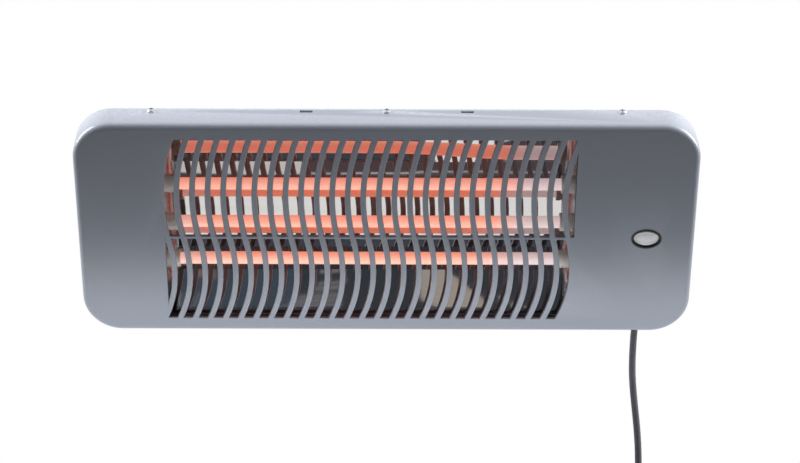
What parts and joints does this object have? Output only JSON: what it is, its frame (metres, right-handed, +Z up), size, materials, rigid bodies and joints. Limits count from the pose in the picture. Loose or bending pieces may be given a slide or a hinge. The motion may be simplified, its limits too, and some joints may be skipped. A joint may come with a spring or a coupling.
{
  "type": "wall heater",
  "caption": "Wall-mounted electric bar heater: pressed steel case with a grille of S-shaped bars over quartz tubes and a mirror, push button, tilting bracket and mains lead.",
  "frame": {"origin": "centre of the wall bracket's four screw slots, on the wall plane", "axes": "+Z up, +X to the right seen from the room, -Y out of the wall towards the room"},
  "size_m": [0.6, 0.1998, 0.5192],
  "materials": {
    "painted_steel": "satin",
    "housing_steel": "satin",
    "zinc_steel": "zinc plated",
    "mirror_sheet": "polished",
    "steatite": "unglazed ceramic",
    "quartz": "milky",
    "hot_wire": "glowing",
    "cap_metal": "satin",
    "pin_metal": "satin",
    "gloss_plastic": "polished mould",
    "black_plastic": "moulded",
    "white_plastic": "moulded",
    "cord_rubber": "matt",
    "brown_core": "matt",
    "blue_core": "matt",
    "black_core": "matt",
    "green_core": "matt",
    "brass": "plain"
  },
  "bodies": {
    "bracket": {"wall_bracket": "painted_steel", "cord_coil": "cord_rubber", "cord_tie": "black_plastic", "plug_body": "black_plastic", "plug_pins": "pin_metal", "plug_earth_strips": "pin_metal"},
    "heater": {"front_cover": "painted_steel", "rear_housing": "housing_steel", "cover_screws": "zinc_steel", "reflector": "mirror_sheet", "reflector_screws": "zinc_steel", "left_tube_holder": "zinc_steel", "right_tube_holder": "zinc_steel", "holder_screws": "zinc_steel", "upper_quartz_tube": "quartz", "middle_quartz_tube": "quartz", "lower_quartz_tube": "quartz", "upper_heating_coil": "hot_wire", "middle_heating_coil": "hot_wire", "lower_heating_coil": "hot_wire", "upper_left_cap": "steatite", "middle_left_cap": "steatite", "lower_left_cap": "steatite", "upper_right_cap": "steatite", "middle_right_cap": "steatite", "lower_right_cap": "steatite", "terminal_studs": "zinc_steel", "terminal_nuts": "zinc_steel", "left_bus_strip": "zinc_steel", "right_bus_strip": "zinc_steel", "button_bezel": "gloss_plastic", "button_spring": "zinc_steel", "switch_body": "black_plastic", "terminal_block": "white_plastic", "inner_lead": "cord_rubber", "live_wire": "brown_core", "neutral_wire": "blue_core", "feed_wire": "black_core", "load_wire": "black_core", "return_wire": "blue_core", "earth_wire": "green_core", "earth_screw": "brass", "cable_clamp": "black_plastic", "clamp_screws": "zinc_steel", "cable_gland": "black_plastic", "left_tilt_lug": "painted_steel", "right_tilt_lug": "painted_steel", "lug_screws": "zinc_steel", "pivot_bolts": "zinc_steel", "pivot_washers": "zinc_steel", "pivot_nuts": "zinc_steel", "mains_cord": "cord_rubber"},
    "button": {"button_cap": "cap_metal", "switch_plunger": "white_plastic"}
  },
  "joints": [
    {"name": "tilt", "type": "hinge", "parent": "bracket", "child": "heater", "pos_m": [0, -0.072, 0], "axis": [1, 0, 0], "range_deg": [-32, 13], "deforming": ["mains_cord"]},
    {"name": "press", "type": "slide", "parent": "heater", "child": "button", "axis": [0, 0.848, 0.5299], "range_m": [0, 0.002], "stiffness_N_per_m": 400, "springref_m": -0.004, "deforming": ["button_spring"]}
  ]
}
